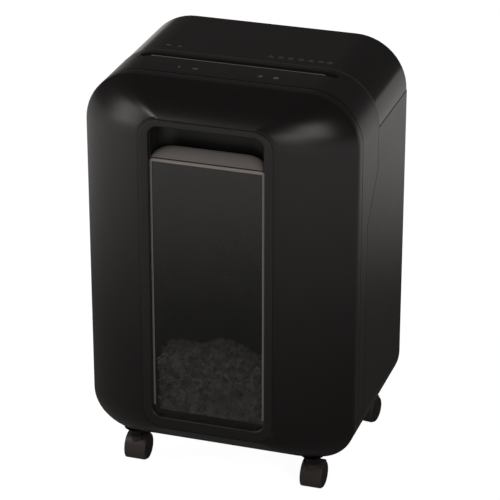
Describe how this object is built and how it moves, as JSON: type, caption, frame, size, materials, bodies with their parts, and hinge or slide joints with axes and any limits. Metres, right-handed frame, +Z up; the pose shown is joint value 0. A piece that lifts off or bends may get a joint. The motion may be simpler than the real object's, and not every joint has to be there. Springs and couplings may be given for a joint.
{
  "type": "paper shredder",
  "caption": "Floor-standing paper shredder with a top slot, twin geared cutter rollers, a windowed pull-out bin and swivel casters.",
  "frame": {"origin": "on the floor, in the middle of the overall width and depth", "axes": "+X to the user's right, -Y out of the front, +Z up"},
  "size_m": [0.352, 0.283, 0.545],
  "materials": {
    "gloss_black": "gloss",
    "satin_black": "satin",
    "grey_plastic": "moulded",
    "caster_grey": "moulded",
    "smoked_window": "smoked gloss",
    "steel": "machined",
    "cutter_steel": "ground and oiled",
    "zinc_plate": "zinc plated",
    "bronze": "sintered",
    "gear_nylon": "moulded nylon",
    "board_green": "solder mask"
  },
  "bodies": {
    "cabinet": {"cabinet_shell": "satin_black", "front_frame": "satin_black", "head_bezel": "gloss_black", "cover_bead": "gloss_black", "rear_cover": "gloss_black", "caster_sleeves_rear": "steel", "bin_runners": "grey_plastic", "head_tray": "grey_plastic", "side_frame_left": "zinc_plate", "side_frame_right": "zinc_plate", "frame_screws": "steel", "tie_rods": "steel", "shaft_bushes": "bronze", "stripper_comb_front": "grey_plastic", "stripper_comb_rear": "grey_plastic", "throat_guide": "grey_plastic", "slot_liner": "satin_black", "paper_sensor": "satin_black", "touch_board": "board_green", "idler_axle": "steel", "gear_cover": "grey_plastic", "motor_body": "zinc_plate", "motor_bracket": "zinc_plate", "circuit_board": "board_green", "board_parts": "satin_black", "power_inlet": "satin_black", "switch_housing": "satin_black", "bin_sensor": "satin_black"},
    "bin": {"bin_fascia": "gloss_black", "window_frame": "satin_black", "window_panel": "smoked_window", "handle_scoop": "gloss_black", "bin_tub": "grey_plastic", "bin_screws": "steel", "bin_magnet": "steel", "caster_sleeves_front": "steel"},
    "roller_front": {"cutter_roller_front": "cutter_steel", "sync_gear_front": "cutter_steel"},
    "roller_rear": {"cutter_roller_rear": "cutter_steel", "sync_gear_rear": "cutter_steel", "roller_drive_gear": "cutter_steel"},
    "idler": {"compound_gear": "gear_nylon"},
    "motor_rotor": {"motor_shaft": "steel", "motor_pinion": "cutter_steel", "cooling_fan": "grey_plastic"},
    "rocker": {"power_rocker": "satin_black"},
    "caster_front_left": {"caster_fork_front_left": "caster_grey"},
    "wheels_front_left": {"caster_wheels_front_left": "caster_grey", "caster_axle_front_left": "steel"},
    "caster_front_right": {"caster_fork_front_right": "caster_grey"},
    "wheels_front_right": {"caster_wheels_front_right": "caster_grey", "caster_axle_front_right": "steel"},
    "caster_rear_left": {"caster_fork_rear_left": "caster_grey"},
    "wheels_rear_left": {"caster_wheels_rear_left": "caster_grey", "caster_axle_rear_left": "steel"},
    "caster_rear_right": {"caster_fork_rear_right": "caster_grey"},
    "wheels_rear_right": {"caster_wheels_rear_right": "caster_grey", "caster_axle_rear_right": "steel"}
  },
  "joints": [
    {"name": "bin_slide", "type": "slide", "parent": "cabinet", "child": "bin", "axis": [0, -1, 0], "range_m": [0, 0.19]},
    {"name": "roller_rear_spin", "type": "hinge", "parent": "cabinet", "child": "roller_rear", "pos_m": [0, 0.004, 0.472], "axis": [1, 0, 0], "continuous": true},
    {"name": "roller_front_spin", "type": "hinge", "parent": "cabinet", "child": "roller_front", "pos_m": [0, -0.03, 0.472], "axis": [1, 0, 0], "continuous": true},
    {"name": "idler_spin", "type": "hinge", "parent": "cabinet", "child": "idler", "pos_m": [0, 0.0368, 0.49018], "axis": [1, 0, 0], "continuous": true},
    {"name": "motor_spin", "type": "hinge", "parent": "cabinet", "child": "motor_rotor", "pos_m": [0, 0.07018, 0.47669], "axis": [1, 0, 0], "continuous": true},
    {"name": "power_switch", "type": "hinge", "parent": "cabinet", "child": "rocker", "pos_m": [-0.072, 0.134, 0.452], "axis": [1, 0, 0], "range_deg": [-18, 0]},
    {"name": "swivel_front_left", "type": "hinge", "parent": "bin", "child": "caster_front_left", "pos_m": [-0.12, -0.079, 0.05], "axis": [0, 0, 1], "continuous": true},
    {"name": "wheels_front_left_roll", "type": "hinge", "parent": "caster_front_left", "child": "wheels_front_left", "pos_m": [-0.12, -0.069, 0.0175], "axis": [1, 0, 0], "continuous": true},
    {"name": "swivel_front_right", "type": "hinge", "parent": "bin", "child": "caster_front_right", "pos_m": [0.12, -0.079, 0.05], "axis": [0, 0, 1], "continuous": true},
    {"name": "wheels_front_right_roll", "type": "hinge", "parent": "caster_front_right", "child": "wheels_front_right", "pos_m": [0.12, -0.069, 0.0175], "axis": [1, 0, 0], "continuous": true},
    {"name": "swivel_rear_left", "type": "hinge", "parent": "cabinet", "child": "caster_rear_left", "pos_m": [-0.136, 0.112, 0.05], "axis": [0, 0, 1], "continuous": true},
    {"name": "wheels_rear_left_roll", "type": "hinge", "parent": "caster_rear_left", "child": "wheels_rear_left", "pos_m": [-0.13739, 0.1219, 0.0175], "axis": [0.9903, 0.1392, 0], "continuous": true},
    {"name": "swivel_rear_right", "type": "hinge", "parent": "cabinet", "child": "caster_rear_right", "pos_m": [0.136, 0.112, 0.05], "axis": [0, 0, 1], "continuous": true},
    {"name": "wheels_rear_right_roll", "type": "hinge", "parent": "caster_rear_right", "child": "wheels_rear_right", "pos_m": [0.13739, 0.1219, 0.0175], "axis": [0.9903, -0.1392, 0], "continuous": true}
  ],
  "couplings": [
    {"joint": "roller_front_spin", "follows": "roller_rear_spin", "ratio": -1},
    {"joint": "idler_spin", "follows": "roller_rear_spin", "ratio": -2.5714},
    {"joint": "motor_spin", "follows": "roller_rear_spin", "ratio": 12.857}
  ]
}
